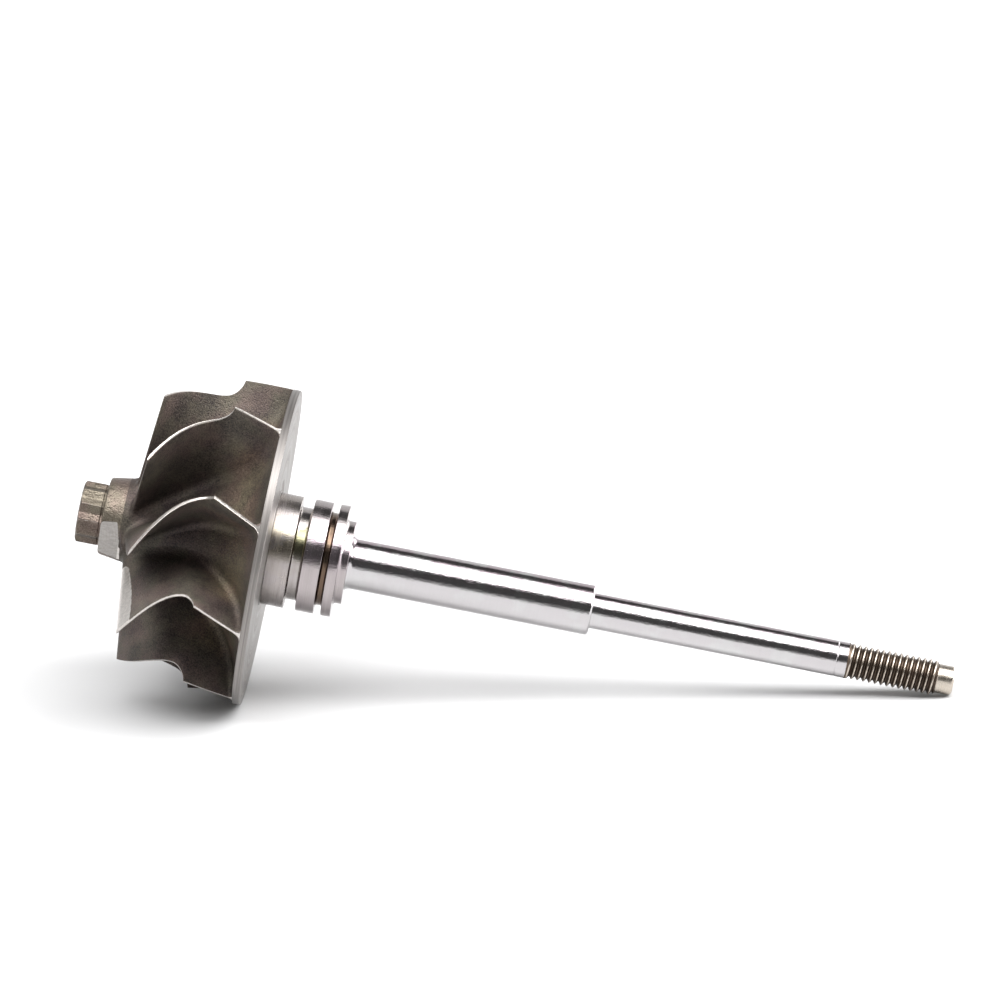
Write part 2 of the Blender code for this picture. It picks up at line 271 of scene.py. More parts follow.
class WheelSizes(bpy.types.PropertyGroup):
    """Sizes of the cast wheel that a user may change."""
    wheel_radius: length_property("Wheel radius", "Outside of the disc and of the blades", 26.67)
    blade_count: IntProperty(name="Blades", description="Number of blades", default=9, min=9, max=9)
    blade_edge: length_property("Blade edge", "Thickness of a blade at its outer edge", 0.58)
    blade_root: length_property("Blade root", "Thickness of a blade at the hub", 2.0)
    root_fillet: length_property("Root fillet", "Fillet between a blade and the hub", 1.5)
    edge_rounding: length_property("Edge rounding", "Rounding of the ground blade edges", 0.09)
    drive_radius: length_property("Drive radius", "Radius over the points of the nose", 5.35)


class ShaftSizes(bpy.types.PropertyGroup):
    """Sizes of the turned shaft that a user may change."""
    land_radius: length_property("Land radius", "Radius of the seal boss", 9.45)
    neck_radius: length_property("Groove radius", "Radius at the bottom of its grooves", 7.83)
    thrust_radius: length_property("Thrust collar radius", "Radius of the thrust collar", 7.0)
    journal_radius: length_property("Journal radius", "Radius of the bearing journal", 4.225)
    stem_radius: length_property("Stem radius", "Radius of the thin stem", 3.0)
    thread_crest: length_property("Thread crest radius", "Radius over the thread", 2.97)
    thread_root: length_property("Thread root radius", "Radius at the bottom of the thread", 2.42)
    thread_pitch: length_property("Thread pitch", "Distance between two crests", 1.0)
    pilot_radius: length_property("Pilot radius", "Radius of the plain tip", 2.42)


class Finishes(bpy.types.PropertyGroup):
    """Colours of the metal surfaces."""
    cast_dark: colour_property("Cast, dark", "Heat-darkened cast skin", (0.037, 0.0315, 0.0365))
    cast_light: colour_property("Cast, light", "Lighter patches of the cast skin", (0.19, 0.165, 0.138))
    # The ground edge colour is also the painted light on one blade's tail
    ground_edge_and_lit_patch: colour_property("Ground edge", "Bright ground blade edges", (0.70, 0.66, 0.625))
    nose_dark: colour_property("Nose, dark", "Darker facets of the nose", (0.082, 0.066, 0.055))
    nose_light: colour_property("Nose, light", "Lighter facets of the nose", (0.38, 0.325, 0.272))
    turned: colour_property("Turned disc", "Turned rim and back face", (0.325, 0.304, 0.29))
    land: colour_property("Seal lands", "Satin turned lands", (0.42, 0.385, 0.38))
    groove: colour_property("Ring groove", "Brown heat tint in the ring groove", (0.14, 0.095, 0.07))
    straw: colour_property("Straw tint", "Pale yellow heat tint in the oil groove", (0.2, 0.19, 0.12))
    tan: colour_property("Tan tint", "Tan heat tint on the land by the disc", (0.36, 0.32, 0.262))
    mauve: colour_property("Mauve tint", "Faint heat tint on lands and journal", (0.45, 0.385, 0.415))
    steel: colour_property("Ground steel", "Polished journal and stem", (0.545, 0.54, 0.54))
    thread_dark: colour_property("Thread flanks", "Dark bronze thread flanks", (0.125, 0.094, 0.072))
    thread_bright: colour_property("Thread crests", "Worn crests", (0.50, 0.44, 0.38))
    tip: colour_property("Tip", "Plain tip with a tan tint", (0.56, 0.50, 0.43))


class StageSettings(bpy.types.PropertyGroup):
    """Floor, light and camera."""
    floor_colour: colour_property("Floor", "Colour of the pale floor", (0.50, 0.50, 0.503))
    light: FloatProperty(name="Light", description="Strength of the studio light", default=1.0, min=0.0)
    camera_azimuth: FloatProperty(
        name="Camera azimuth", description="Angle round the part", default=math.radians(4.5052),
        subtype="ANGLE")
    camera_elevation: FloatProperty(
        name="Camera elevation", description="Angle above the floor", default=math.radians(17.5),
        subtype="ANGLE")
    camera_roll: FloatProperty(
        name="Camera roll", description="Lean of the camera", default=math.radians(-1.5374),
        subtype="ANGLE")
    camera_distance: FloatProperty(
        name="Camera distance", description="Distance from the camera to the part", default=1.1602,
        unit="LENGTH")
    camera_lens: FloatProperty(
        name="Lens", description="Focal length in millimetres on a 36 mm sensor", default=251.77)


# Shape helpers, in the rotor's millimetres

def polar(along, radius, turn):
    """Points from arrays or numbers: along the axis, a radius and a turn in radians."""
    along, radius, turn = np.broadcast_arrays(along, radius, turn)
    return np.stack([along, -radius * np.cos(turn), radius * np.sin(turn)], axis=-1)


def round_corners(outline, steps=4):
    """An (along, radius) outline, where a third number at a corner rounds it by that length."""
    corners = [Vector(point[:2]) for point in outline]
    result = [corners[0]]
    for before, corner, after, point in zip(corners, corners[1:], corners[2:], outline[1:]):
        fillet = point[2] if len(point) > 2 else 0.0
        if not fillet:
            result.append(corner)
            continue
        towards = [(before - corner), (after - corner)]
        cuts = [min(fillet, LONGEST_FILLET_SHARE * way.length) for way in towards]
        start, end = [corner + way.normalized() * cut for way, cut in zip(towards, cuts)]
        for step in range(steps + 1):
            share = step / steps
            result.append((1 - share) ** 2 * start + 2 * share * (1 - share) * corner + share ** 2 * end)
    result.append(corners[-1])
    return [tuple(point) for point in result]


def spin(outline, segments):
    """Points and faces of an (along, radius) outline turned round the axis."""
    turns = np.arange(segments) * (math.tau / segments)
    points, rows = [], []
    for along, radius in outline:
        count = segments if radius > ON_AXIS else 1
        first = len(points)
        rows.append([first + number % count for number in range(segments)])
        points.extend(polar(along, radius, turns[:count]))
    faces = []
    for low, high in zip(rows, rows[1:]):
        for number in range(segments):
            after = (number + 1) % segments
            face = list(dict.fromkeys((low[number], low[after], high[after], high[number])))
            if len(face) > 2:
                faces.append(face)
    return np.array(points), faces


def add_piece(name, points, faces, material, nodes, ground=None, sharp=32.0):
    """A mesh piece in the frame that rides on the rotor and stands for CAD nodes.

    Where ground is given, it says how fully each point was ground or worn bright, and on one blade how
    fully it is painted bright as painted light.
    """
    if material not in bpy.data.materials:
        raise RuntimeError(f"the material {material} isn't made yet: run the finishes first")
    bm = bmesh.new()
    verts = [bm.verts.new(ROTOR @ (Vector(point) * MM)) for point in points]
    for face in faces:
        bm.faces.new([verts[index] for index in face])
    bm.verts.index_update()
    bmesh.ops.recalc_face_normals(bm, faces=bm.faces)
    mesh = bpy.data.meshes.new(name)
    bm.to_mesh(mesh)
    bm.free()
    mesh.materials.append(bpy.data.materials[material])
    mesh.shade_smooth()
    mesh.set_sharp_from_angle(angle=math.radians(sharp))
    if ground is not None:
        layer = mesh.attributes.new("ground", "FLOAT", "POINT")
        layer.data.foreach_set("value", np.asarray(ground, dtype=np.float32))
    piece = bpy.data.objects.new(name, mesh)
    bpy.context.scene.collection.objects.link(piece)
    weighting = piece.modifiers.new("Flat faces stay flat", "WEIGHTED_NORMAL")
    weighting.keep_sharp = True
    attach(piece, "root")
    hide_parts(*nodes)
    return piece


def turned_piece(name, outline, segments, material, nodes):
    points, faces = spin(round_corners(outline), segments)
    return add_piece(name, points, faces, material, nodes)


# The wheel's shapes

def hub_point(turn, end_depth=HUB_END_DEPTH):
    """(depth, radius) on the hub's outline, from turn 0 at the rim to 90 degrees at the nose."""
    length = end_depth - RIM_THICKNESS
    height = HUB_RIM_RADIUS - HUB_END_RADIUS - HUB_TAPER * length
    angle = math.radians(turn)
    taper = HUB_TAPER * length * (1.0 - math.cos(angle))
    return end_depth - length * math.cos(angle), HUB_RIM_RADIUS - height * math.sin(angle) - taper


def hub_turn_at(depth):
    return math.degrees(math.acos((HUB_END_DEPTH - depth) / (HUB_END_DEPTH - RIM_THICKNESS)))


def hub_outline(first_depth, last_depth, steps):
    first, last = hub_turn_at(first_depth), hub_turn_at(last_depth)
    return [hub_point(first + (last - first) * step / steps) for step in range(steps + 1)]


def smooth_line(points, shares):
    """A smooth curve through (depth, radius) points, sampled at shares of its length."""
    points = np.array(points)
    travelled = np.concatenate([[0.0], np.cumsum(np.linalg.norm(np.diff(points, axis=0), axis=1))])
    slopes = np.gradient(points, travelled, axis=0)
    wanted = np.asarray(shares) * travelled[-1]
    index = np.clip(np.searchsorted(travelled, wanted, side="right") - 1, 0, len(points) - 2)
    width = (travelled[index + 1] - travelled[index])[:, None]
    share = ((wanted - travelled[index])[:, None]) / width
    start, end = points[index], points[index + 1]
    return (
        (2 * share ** 3 - 3 * share ** 2 + 1) * start
        + (share ** 3 - 2 * share ** 2 + share) * width * slopes[index]
        + (-2 * share ** 3 + 3 * share ** 2) * end
        + (share ** 3 - share ** 2) * width * slopes[index + 1])


def camber(depth):
    """Blade angle against its crest in degrees: a straight lean, then a growing bend."""

    def area(distance):
        bend = -EXDUCER_BEND * distance ** 3 / 3
        return np.where(distance > 0, bend, INDUCER_LEAN * distance ** 2 / 2)

    distance = np.asarray(depth) - BLADE_CREST_DEPTH
    spread = area(distance + CREST_ROUNDING) - area(distance - CREST_ROUNDING)
    return spread / (2 * CREST_ROUNDING)


def end_rounding(distance, length, kept):
    """Share of the thickness left at a distance from a rounded end, down to a kept share."""
    part = np.clip(1.0 - np.asarray(distance) / length, 0.0, 1.0)
    return kept + (1.0 - kept) * np.sqrt(1.0 - part ** 2)


def blade_columns(rounding):
    """Places along a blade, from 0 at its leading edge to 1 at its tail, closest together at both."""
    lead = np.array(EDGE_STEPS) * rounding
    middle = np.linspace(lead[-1], BLADE_CHORD - BLADE_TAIL, BLADE_COLUMNS)
    tail = BLADE_TAIL * (1.0 - np.cos(np.linspace(0.0, math.pi / 2, TAIL_COLUMNS)))
    return np.concatenate([lead[:-1], middle[:-1], (BLADE_CHORD - tail)[::-1]]) / BLADE_CHORD


def blade_rows(fillet, reach, rounding):
    """Distances out from a blade's foot: up its fillet, up the blade and round its outer edge."""
    rows = [fillet * share for share in FILLET_STEPS]
    for step in range(1, BLADE_ROWS + 1):
        rows.append(fillet + (reach - rounding - fillet) * step / BLADE_ROWS)
    return rows + [reach - rounding * left for left in EDGE_STEPS[-2::-1]]


def blade_foot(columns, wheel_radius):
    """The line where a blade meets the hub, and how far the blade sinks in there.

    At the rim the line rises to the full radius of the wheel.
    """
    last_turn = hub_turn_at(TRAILING_ROOT_DEPTH)
    foot = np.array([hub_point(share * last_turn) for share in columns])
    raised = (wheel_radius - HUB_RIM_RADIUS) * (1.0 - columns) ** 3
    foot[:, 1] += raised
    return foot, ROOT_SINK + raised * np.sin(np.radians(columns * last_turn))


def blade_fillet(fillet, columns):
    """The root fillet along a blade, smaller at the rim and at the tail."""
    from_rim = FILLET_AT_RIM + (1.0 - FILLET_AT_RIM) * np.clip(columns / FILLET_FULL_FROM, 0, 1)
    return fillet * from_rim * (1.0 - FILLET_LOSS_AT_TAIL * columns ** 4)


def painted_light_patch(radius, from_tail):
    """How bright one blade is painted at each point, painted light over a patch that widens outwards."""
    opening = np.sqrt(np.clip((radius - PATCH_START_RADIUS) / PATCH_OPENING, 0.0, 1.0))
    width = (PATCH_WIDTH + PATCH_WIDENING * (radius - PATCH_WIDTH_RADIUS)) * opening
    cover = np.clip(PATCH_LEVEL + PATCH_FADE * (width - from_tail), 0.0, 1.0)
    return np.where(radius > PATCH_START_RADIUS, cover, 0.0)


def plate_faces(number, lines, border):
    """Faces of a plate whose sides are two equal grids of points, joined over a middle line.

    The points of one side come first, then those of the other side, then the middle line, which
    has one point for each point on the border of a side.
    """
    count = number.size
    middle = {index: 2 * count + place for place, index in enumerate(border)}
    faces = []
    for grid in (number, number + count):
        corners = [grid[:-1, :-1], grid[:-1, 1:], grid[1:, 1:], grid[1:, :-1]]
        faces += np.stack(corners, -1).reshape(-1, 4).tolist()
    for line in lines:
        for start, end in zip(line[:-1].tolist(), line[1:].tolist()):
            faces.append((start, end, middle[end], middle[start]))
            faces.append((middle[start], middle[end], end + count, start + count))
    return faces


def blade_shape(sizes, crest_angle, has_painted_light):
    """Points, faces and how bright each point is, from grinding and from painted light, for one blade.

    On one blade a patch of painted light lies on one side of its trailing edge, where the blade faces the
    light.
    """
    edge, root = sizes.blade_edge / MM, sizes.blade_root / MM
    rounding, wheel_radius = sizes.edge_rounding / MM, sizes.wheel_radius / MM
    columns = blade_columns(rounding)
    from_lead, from_tail = columns * BLADE_CHORD, (1.0 - columns) * BLADE_CHORD
    foot, sink = blade_foot(columns, wheel_radius)
    top = smooth_line(SHROUD_OUTLINE, columns)
    top[:, 1] = np.minimum(top[:, 1], wheel_radius)
    reach = np.linalg.norm(top - foot, axis=1)
    way = (top - foot) / reach[:, None]
    fillet = blade_fillet(sizes.root_fillet / MM, columns)
    by_tail = np.clip((columns - TAIL_FLARE_START) / (1.0 - TAIL_FLARE_START), 0, 1) ** 2
    sides = {-1: [], 1: []}
    ground = {-1: [], 1: []}
    for distance in blade_rows(fillet, reach, rounding):
        travelled = distance - sink * (1.0 - distance / reach)
        inside = np.clip(1.0 - distance / fillet, 0.0, 1.0)
        flare = fillet * (1.0 - np.sqrt(1.0 - inside ** 2))
        depth = foot[:, 0] + way[:, 0] * travelled + flare * by_tail * TAIL_FLARE
        radius = foot[:, 1] + way[:, 1] * travelled
        inward = (THICKENING_RADIUS - radius) / (THICKENING_RADIUS - HUB_END_RADIUS)
        half = 0.5 * (edge + (root - edge) * np.clip(inward, 0.0, 1.0)) + flare
        half = half * end_rounding(from_lead, rounding, EDGE_THICKNESS)
        half = half * end_rounding(from_tail, BLADE_TAIL, TAIL_THICKNESS)
        half = half * end_rounding(reach - distance, rounding, EDGE_THICKNESS)
        rise = camber(depth + CAMBER_STEP) - camber(depth - CAMBER_STEP)
        slope = np.radians(rise) / (2 * CAMBER_STEP)
        stretch = np.sqrt(1.0 + (radius * slope) ** 2)
        for side in sides:
            turn = np.radians(crest_angle + camber(depth)) + side * half * stretch / radius
            sides[side].append(polar(-depth, radius, turn))
        nearest = np.minimum(reach - distance, from_lead)
        ground[-1].append(CORNER_SHARE * np.clip(1.0 - nearest / GROUND_STRIP, 0.0, 1.0))
        # On one blade, a patch of painted light by the tail, where the blade faces the light
        patch = painted_light_patch(radius, from_tail) if has_painted_light else 0.0
        ground[1].append(np.maximum(ground[-1][-1], patch))
    low, high = np.array(sides[-1]), np.array(sides[1])
    number = np.arange(low[..., 0].size).reshape(low.shape[:2])
    lines = [number[0], number[-1], number[:, 0], number[:, -1]]
    border = list(dict.fromkeys(np.concatenate(lines).tolist()))
    low, high = low.reshape(-1, 3), high.reshape(-1, 3)
    points = np.concatenate([low, high, (low[border] + high[border]) / 2])
    on_line = np.zeros(number.shape)
    on_line[1:, 0] = on_line[-1, :] = 1.0
    on_line[:, -1] = np.array(ground[1])[:, -1]
    closeness = np.concatenate([np.ravel(ground[-1]), np.ravel(ground[1]), on_line.ravel()[border]])
    return points, plate_faces(number, lines, border), closeness


def flat_limit(points):
    """Points pressed in to the flat that was ground on the nose collar, and how fully each was ground."""
    turn = math.radians(COLLAR_FLAT_ANGLE)
    outward = np.array([-math.cos(turn), math.sin(turn)])
    sideways = np.array([math.sin(turn), math.cos(turn)])
    reach = points[:, 1:] @ outward
    across = points[:, 1:] @ sideways
    depth = -points[:, 0]
    end = FLAT_END_DEPTH + FLAT_END_SLANT * across
    ramp = np.clip((end - depth) / RUN_OUT_LENGTH, 0.0, RUN_OUT_LIMIT)
    distance = COLLAR_FLAT_DISTANCE + FLAT_LEAN * (DRIVE_DEPTH - depth)
    beyond = reach - (distance + RUN_OUT_RISE * ramp ** 2)
    moved = points.copy()
    moved[:, 1:] -= np.outer(np.maximum(beyond, 0.0), outward)
    return moved, np.clip(0.5 + beyond * FLAT_FADE, 0.0, 1.0) * (ramp < RUN_OUT_GROUND)


def divide_outline(outline, spacing):
    """The same outline with more points on it, about a spacing apart."""
    result = []
    for start, end in zip(outline, outline[1:]):
        steps = max(1, int(math.dist(start, end) / spacing))
        way = np.array(end) - np.array(start)
        result += [tuple(np.array(start) + way * step / steps) for step in range(steps)]
    return result + [outline[-1]]


def closed_tube(rows, first_along, last_along, segments):
    """Points and faces of a tube with a flat end at each side.

    Each row is a distance along the axis and one radius for each of its points.
    """
    turns = np.arange(segments) * (math.tau / segments)
    points = [(first_along, 0.0, 0.0)]
    for along, radius in rows:
        points.extend(polar(along, radius, turns))
    points.append((last_along, 0.0, 0.0))
    faces = []
    for number in range(segments):
        after = (number + 1) % segments
        faces.append((0, 1 + number, 1 + after))
        for row in range(len(rows) - 1):
            near, far = 1 + row * segments, 1 + (row + 1) * segments
            faces.append((near + number, near + after, far + after, far + number))
        end = 1 + (len(rows) - 1) * segments
        faces.append((end + number, end + after, len(points) - 1))
    return np.array(points), faces


def drive_shape(sizes):
    """The twelve-point nose: two hexagons, a turned chamfer in front and a hollow at its foot.

    Its ridges and the front of its chamfer are worn bright.
    """
    turns = np.arange(DRIVE_SEGMENTS) * (math.tau / DRIVE_SEGMENTS)
    point_radius = sizes.drive_radius / MM

    def hexagon(shift):
        within = np.mod(turns - math.radians(DRIVE_ANGLE + shift), math.pi / 3) - math.pi / 6
        return point_radius * math.cos(math.pi / 6) / np.cos(within)

    star = np.maximum(hexagon(0.0), hexagon(360.0 / DRIVE_POINTS))
    star = (np.roll(star, 1) + 2 * star + np.roll(star, -1)) / 4
    valley = star.min()
    ridge = (star - valley) / (star.max() - valley)
    rows = []
    for share in np.linspace(0.0, 1.0, CHAMFER_ROWS):
        in_from_end = DRIVE_CHAMFER * share
        chamfer = valley - DRIVE_FACE_INSET + DRIVE_CHAMFER_SLOPE * in_from_end
        rows.append((-DRIVE_END_DEPTH + in_from_end, np.minimum(star, chamfer)))
    front, back = DRIVE_FOOT - DRIVE_END_DEPTH, -DRIVE_DEPTH - DRIVE_FOOT
    rows += [(along, star) for along in np.linspace(front, back, STRAIGHT_ROWS)]
    for share in np.linspace(0.0, 1.0, FOOT_ROWS)[1:]:
        foot = DRIVE_FOOT_FLARE * share - DRIVE_FOOT_HOLLOW * math.sin(math.pi * share)
        rows.append((-DRIVE_DEPTH - DRIVE_FOOT * (1.0 - share), star + foot))
    worn = RIDGE_WEAR * np.clip((ridge - RIDGE_WEAR_START) / (1.0 - RIDGE_WEAR_START), 0.0, 1.0)
    closeness = [0.0]
    for number in range(len(rows)):
        closeness.extend(np.ones(DRIVE_SEGMENTS) if number in (1, 2) else worn)
    points, faces = closed_tube(rows, -DRIVE_END_DEPTH, -DRIVE_DEPTH, DRIVE_SEGMENTS)
    return points, faces, closeness + [0.0]


def thread_shape(sizes):
    """A left-hand 60 degree thread that runs out at the stem and is chamfered at the tip."""
    turns = np.arange(THREAD_SEGMENTS) * (math.tau / THREAD_SEGMENTS)
    crest, root = sizes.thread_crest / MM, sizes.thread_root / MM
    pitch, stem = sizes.thread_pitch / MM, sizes.stem_radius / MM
    rows = []
    closeness = [0.0]
    for along in np.arange(STEM_END, THREAD_END + THREAD_STEP / 2, THREAD_STEP):
        phase = np.mod((along - STEM_END) / pitch - turns / math.tau, 1.0)
        from_crest = np.abs(phase - 0.5) * 2.0
        cut = np.clip((from_crest - CREST_FLAT) / FLANK_SHARE, 0.0, 1.0)
        fade = min(1.0, max(0.0, (along - STEM_END - THREAD_START) / THREAD_RUN_OUT))
        outside = stem + (crest - stem) * fade
        radius = outside - (outside - root) * cut * fade
        chamfer = root + THREAD_CHAMFER_START + (THREAD_END - along)
        rows.append((along, np.minimum(radius, chamfer)))
        crest_wear = np.clip(1.0 - cut * CREST_FADE, 0.0, 1.0)
        closeness.extend(np.where(radius < chamfer, crest_wear, CHAMFER_WEAR))
    points, faces = closed_tube(rows, STEM_END, THREAD_END, THREAD_SEGMENTS)
    return points, faces, closeness + [0.0]


# Materials

class NodeBoard:
    """Adds nodes to one tree and joins them."""

    nodes_in_a_row = 9

    def __init__(self, tree):
        self.tree = tree

    def link(self, output, target):
        self.tree.links.new(output, target)

    def give(self, target, value):
        """Joins a socket to an input, or sets the input to a number, a vector or a colour."""
        if isinstance(value, bpy.types.NodeSocket):
            self.link(value, target)
        elif target.type == "RGBA":
            target.default_value = (*value, 1.0)
        else:
            target.default_value = value

    def add(self, kind, inputs=None, **settings):
        node = self.tree.nodes.new(kind)
        row, column = divmod(len(self.tree.nodes), self.nodes_in_a_row)
        node.location = (180 * column, -220 * row)
        for name, value in settings.items():
            setattr(node, name, value)
        for name, value in (inputs or {}).items():
            self.give(node.inputs[name], value)
        return node

    def number(self, operation, first, second=0.0, clamp=False):
        node = self.add("ShaderNodeMath", {0: first, 1: second}, operation=operation, use_clamp=clamp)
        return node.outputs[0]

    def times(self, first, second, clamp=False):
        return self.number("MULTIPLY", first, second, clamp)

    def vector(self, along, sideways, upwards):
        return self.add("ShaderNodeCombineXYZ", {0: along, 1: sideways, 2: upwards}).outputs[0]

    def stretch(self, vector, by):
        return self.add("ShaderNodeVectorMath", {0: vector, 1: by}, operation="MULTIPLY").outputs[0]

    def remap(self, value, low, high, new_low=0.0, new_high=1.0, smooth=True):
        node = self.add("ShaderNodeMapRange", {
            "Value": value, "From Min": low, "From Max": high, "To Min": new_low, "To Max": new_high})
        node.interpolation_type = "SMOOTHSTEP" if smooth else "LINEAR"
        return node.outputs["Result"]

    def noise(self, vector, scale, detail=2.0, roughness=0.5):
        node = self.add("ShaderNodeTexNoise", {
            "Vector": vector, "Scale": scale, "Detail": detail, "Roughness": roughness})
        return node.outputs["Fac"]

    def blend(self, share, first, second):
        """A number between two numbers or sockets, by a share from 0 to 1."""
        return self.add("ShaderNodeMix", {0: share, 2: first, 3: second}, data_type="FLOAT").outputs[0]

    def mix(self, share, first, second, method="MIX"):
        """A colour between two colours or sockets, by a share from 0 to 1."""
        node = self.add(
            "ShaderNodeMix", {0: share, 6: first, 7: second}, data_type="RGBA", blend_type=method)
        return node.outputs[2]

    def group(self, name, inputs):
        return self.add("ShaderNodeGroup", inputs, node_tree=bpy.data.node_groups[name]).outputs


def darker(colour, share):
    return tuple(share * part for part in colour)


def start_group(name, inputs, outputs):
    """A shader node group with named sockets, its board, and its two end nodes.

    Each group takes the position on the surface first, then the inputs that are given.
    """
    tree = bpy.data.node_groups.new(name, "ShaderNodeTree")
    tree.interface.new_socket(name="Position", in_out="INPUT", socket_type="NodeSocketVector")
    for label, kind, value in inputs:
        socket = tree.interface.new_socket(name=label, in_out="INPUT", socket_type=f"NodeSocket{kind}")
        if kind == "Float":
            socket.default_value = value
    for label, kind in outputs:
        tree.interface.new_socket(name=label, in_out="OUTPUT", socket_type=f"NodeSocket{kind}")
    board = NodeBoard(tree)
    return board, board.add("NodeGroupInput").outputs, board.add("NodeGroupOutput").inputs


def rotor_vector(board, position):
    """A place in the rotor's own millimetres, as a vector for noise."""
    place = board.group("Rotor place", {"Position": position})
    return board.vector(place["Along"], place["Sideways"], place["Upwards"])


def make_place_group():
    """Turns a position into millimetres along and away from the rotor's axis."""
    board, given, result = start_group(
        "Rotor place", [],
        [("Along", "Float"), ("Radius", "Float"), ("Sideways", "Float"), ("Upwards", "Float")])
    own = board.add("ShaderNodeMapping", {
        "Vector": given["Position"], "Location": ROTOR_ORIGIN, "Rotation": (0.0, ROTOR_TILT, 0.0),
        "Scale": (MM, MM, MM)}, vector_type="TEXTURE")
    along, sideways, upwards = board.add("ShaderNodeSeparateXYZ", {0: own.outputs[0]}).outputs
    across = board.vector(0.0, sideways, upwards)
    radius = board.add("ShaderNodeVectorMath", {0: across}, operation="LENGTH").outputs["Value"]
    board.link(along, result["Along"])
    board.link(radius, result["Radius"])
    board.link(sideways, result["Sideways"])
    board.link(upwards, result["Upwards"])


def make_lines_group():
    """Fine lines that a lathe or a grinding wheel leaves round the axis, and wider bands of them."""
    board, given, result = start_group(
        "Turned lines", [("Spacing", "Float", 0.2), ("Break Up", "Float", 0.05)],
        [("Lines", "Float"), ("Bands", "Float")])
    place = board.group("Rotor place", {"Position": given["Position"]})
    ring = board.number("ADD", place["Along"], place["Radius"])
    sideways = board.times(place["Sideways"], given["Break Up"])
    upwards = board.times(place["Upwards"], given["Break Up"])
    lines = board.vector(board.number("DIVIDE", ring, given["Spacing"]), sideways, upwards)
    board.link(board.noise(lines, 1.0, 3.0, 0.65), result["Lines"])
    bands = board.vector(board.times(ring, 0.8), sideways, upwards)
    board.link(board.noise(bands, 1.0, 2.0, 0.5), result["Bands"])


def make_cast_group():
    """Grain, soft patches and height of an investment-cast skin."""
    board, given, result = start_group(
        "Cast skin", [("Grain Size", "Float", 0.35), ("Patch Size", "Float", 6.0)],
        [("Grain", "Float"), ("Patches", "Float"), ("Height", "Float")])
    own = rotor_vector(board, given["Position"])
    grain_scale = board.number("DIVIDE", 1.0, given["Grain Size"])
    patch_scale = board.number("DIVIDE", 1.0, given["Patch Size"])
    grain = board.noise(own, grain_scale, 3.0, 0.6)
    patches = board.noise(own, patch_scale, 4.0, 0.6)
    board.link(board.remap(grain, 0.3, 0.7), result["Grain"])
    board.link(board.remap(patches, 0.3, 0.7), result["Patches"])
    pits = board.remap(board.noise(own, board.times(grain_scale, 0.45), 2.0, 0.5), 0.25, 0.45)
    board.link(board.number("ADD", grain, board.times(pits, 0.5)), result["Height"])


def make_finish_group():
    """Colour, roughness and height of the cast skin, with soft clouds, painted shade and an olive tint
    that also paints light.

    The painted shade darkens the colour near the axis, deep among the blades, and low down, and the olive
    tint brightens it by the disc as painted light.
    """
    board, given, result = start_group(
        "Cast finish", [("Dark", "Color", None), ("Light", "Color", None), ("Grain Size", "Float", 0.35)],
        [("Colour", "Color"), ("Roughness", "Float"), ("Height", "Float")])
    skin = board.group("Cast skin", {
        "Position": given["Position"], "Grain Size": given["Grain Size"], "Patch Size": 5.0})
    place = board.group("Rotor place", {"Position": given["Position"]})
    shade = board.number("ADD", board.times(skin["Patches"], 0.4), board.times(skin["Grain"], 0.6))
    clouds = board.remap(board.noise(given["Position"], 200.0, 2.0), 0.36, 0.64)
    tint = board.mix(clouds, MAUVE_CLOUD, GREEN_CLOUD)
    tinted = board.mix(1.0, board.mix(shade, given["Dark"], given["Light"]), tint, "MULTIPLY")
    # Painted shade: darker near the axis, deep among the blades, and low down
    painted_shade = board.times(
        board.remap(place["Radius"], *PAINTED_SHADE_RADII, 0.6, 1.0),
        board.remap(place["Upwards"], *PAINTED_SHADE_HEIGHTS, 0.66, 1.0))
    toned = board.add("ShaderNodeVectorMath", {0: tinted, "Scale": painted_shade}, operation="SCALE").outputs[0]
    # Olive hue and painted light on the hub and blade roots by the disc
    painted_light_by_disc = board.times(
        board.remap(place["Along"], *OLIVE_LIGHT_PLACES), board.remap(place["Radius"], *OLIVE_LIGHT_RADII, 1.0, 0.0))
    board.link(board.mix(painted_light_by_disc, toned, OLIVE_TINT_AND_LIGHT, "MULTIPLY"), result["Colour"])
    board.link(board.remap(skin["Grain"], 0.0, 1.0, 0.46, 0.62, smooth=False), result["Roughness"])
    board.link(skin["Height"], result["Height"])


def make_edge_group():
    """Where a surface was ground bright, and on one blade painted bright as painted light, with a slightly
    uneven border.
    """
    board, given, result = start_group(
        "Ground mask", [("Closeness", "Float", 0.0), ("Start", "Float", 0.6), ("Full", "Float", 0.85)],
        [("Mask", "Float")])
    wander = board.noise(rotor_vector(board, given["Position"]), 1.6, 3.0, 0.6)
    uneven = board.times(board.number("SUBTRACT", wander, 0.5), 0.35)
    value = board.number("ADD", given["Closeness"], board.times(uneven, given["Closeness"]))
    board.link(board.remap(value, given["Start"], given["Full"]), result["Mask"])


def make_scratch_group():
    """Short fine scratches, dull smudges and the soft waves that grinding leaves."""
    board, given, result = start_group(
        "Handling marks", [("Amount", "Float", 0.5)],
        [("Marks", "Float"), ("Smudges", "Float"), ("Waves", "Float")])
    own = rotor_vector(board, given["Position"])
    scratches = board.noise(board.stretch(own, (0.25, 2.4, 2.4)), 1.4, 4.0, 0.7)
    board.link(board.times(board.remap(scratches, 0.62, 0.74), given["Amount"]), result["Marks"])
    smudges = board.noise(own, 0.22, 3.0, 0.6)
    board.link(board.times(board.remap(smudges, 0.35, 0.7), given["Amount"]), result["Smudges"])
    board.link(board.noise(board.stretch(own, (0.9, 2.0, 2.0)), 1.2, 3.0, 0.6), result["Waves"])


